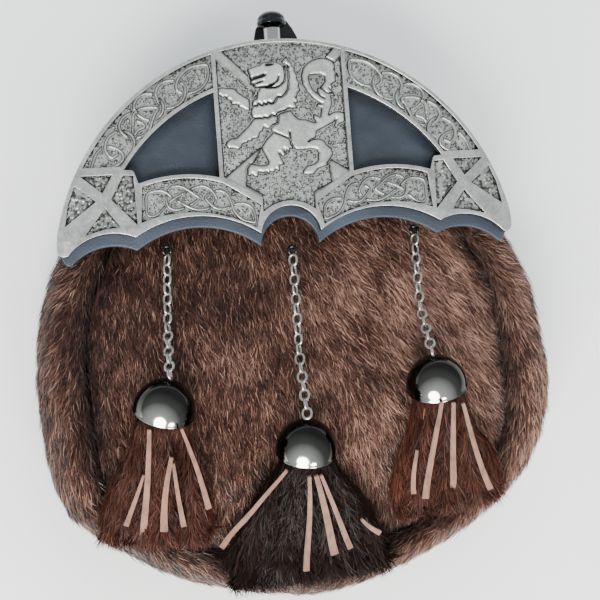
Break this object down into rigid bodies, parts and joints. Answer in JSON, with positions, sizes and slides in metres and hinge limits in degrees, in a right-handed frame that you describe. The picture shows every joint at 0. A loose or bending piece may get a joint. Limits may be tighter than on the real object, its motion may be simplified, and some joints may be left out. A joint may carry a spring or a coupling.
{
  "type": "sporran pouch",
  "caption": "Fur dress sporran with a leather flap under a cast metal cantle, and chains that end in domed bells and fur tassels.",
  "frame": {"origin": "bottom centre of the bounding box, on the surface that the sporran lies on", "axes": "+X to the sporran's right as its front is seen, +Y up the sporran towards its cantle, +Z out of its front"},
  "size_m": [0.179, 0.2058, 0.0561],
  "materials": {
    "cantle_metal": "antiqued pewter, bright on the high edges and dark in the sunk floors",
    "bell_metal": "mirror-polished dark nickel",
    "knob_metal": "blackened metal, polished",
    "chain_steel": "tarnished nickel",
    "flap_leather": "smooth navy leather, lightly padded",
    "body_leather": "black leather, semi-matt",
    "fur": "short, glossy brown fur",
    "tassel_fur": "dark brown fur strips with tan leather thongs"
  },
  "bodies": {
    "root": {"cantle": "cantle_metal", "flap": "flap_leather", "flap_hinge": "body_leather", "gusset": "fur", "front_panel": "fur", "back_panel": "body_leather", "strap_loop_left": "body_leather", "strap_loop_right": "body_leather", "knob": "knob_metal", "knob_tab": "body_leather", "anchor_left": "knob_metal", "anchor_middle": "knob_metal", "anchor_right": "knob_metal", "chain_left": "chain_steel", "chain_middle": "chain_steel", "chain_right": "chain_steel", "bell_left": "bell_metal", "bell_middle": "bell_metal", "bell_right": "bell_metal", "tassel_left": "tassel_fur", "tassel_middle": "tassel_fur", "tassel_right": "tassel_fur"}
  },
  "joints": []
}
